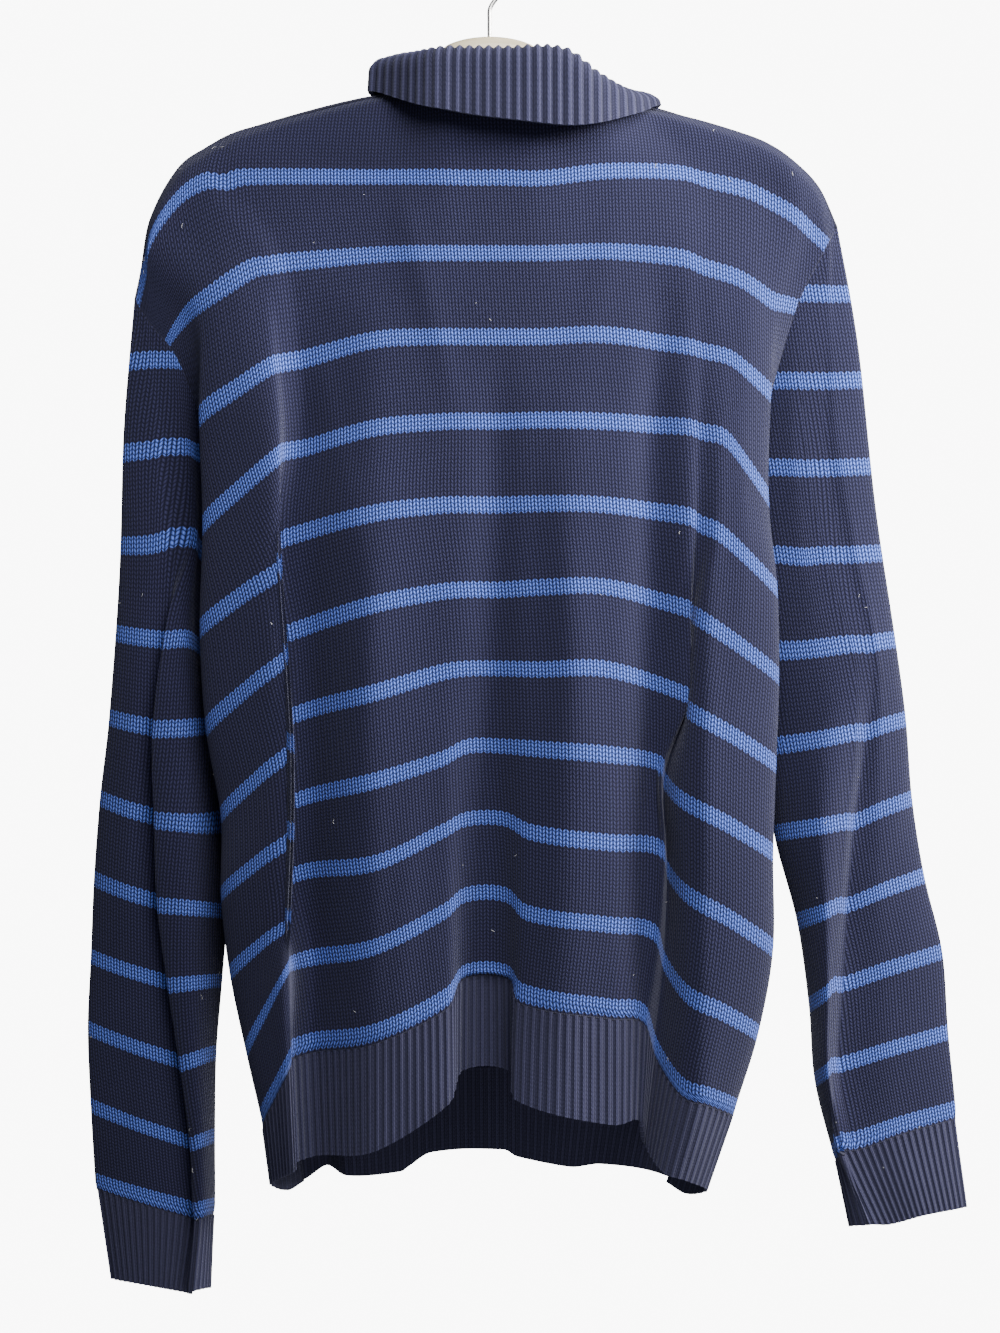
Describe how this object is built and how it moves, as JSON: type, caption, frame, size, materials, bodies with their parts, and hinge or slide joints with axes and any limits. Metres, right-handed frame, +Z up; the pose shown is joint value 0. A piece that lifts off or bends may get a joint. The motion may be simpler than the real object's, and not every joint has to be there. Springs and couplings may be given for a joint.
{
  "type": "quarter-zip sweater on a hanger",
  "caption": "Navy striped knitted quarter-zip sweater with a folded ribbed collar, hanging on a wooden hanger by its hook, seen from the back.",
  "frame": {"origin": "the inner crown of the hanger's hook, where it hangs on a rail", "axes": "+Z up, +Y out of the garment's front, +X to the right as the back is seen"},
  "size_m": [0.5886, 0.14, 0.9133],
  "materials": {
    "navy_knit": "stockinette with blue stripes",
    "navy_rib": "knitted rib",
    "navy_tape": "woven tape",
    "nickel": "satin nickel",
    "pale_wood": "varnished",
    "steel_wire": "polished wire"
  },
  "bodies": {
    "garment": {"back_panel": "navy_knit", "front_panel": "navy_knit", "hem_rib_back": "navy_rib", "hem_rib_front": "navy_rib", "sleeve_left": "navy_knit", "sleeve_right": "navy_knit", "cuff_left": "navy_rib", "cuff_right": "navy_rib", "collar": "navy_rib", "zip_tape_left": "navy_tape", "zip_tape_right": "navy_tape", "zip_slider": "nickel", "hanger_bar": "pale_wood", "hanger_hook": "steel_wire"},
    "pull": {"zip_pull": "nickel"}
  },
  "joints": [
    {"name": "pull_hinge", "type": "hinge", "parent": "garment", "child": "pull", "pos_m": [0.014, 0.04434, -0.247], "axis": [1, 0, 0], "range_deg": [0, 150]}
  ]
}
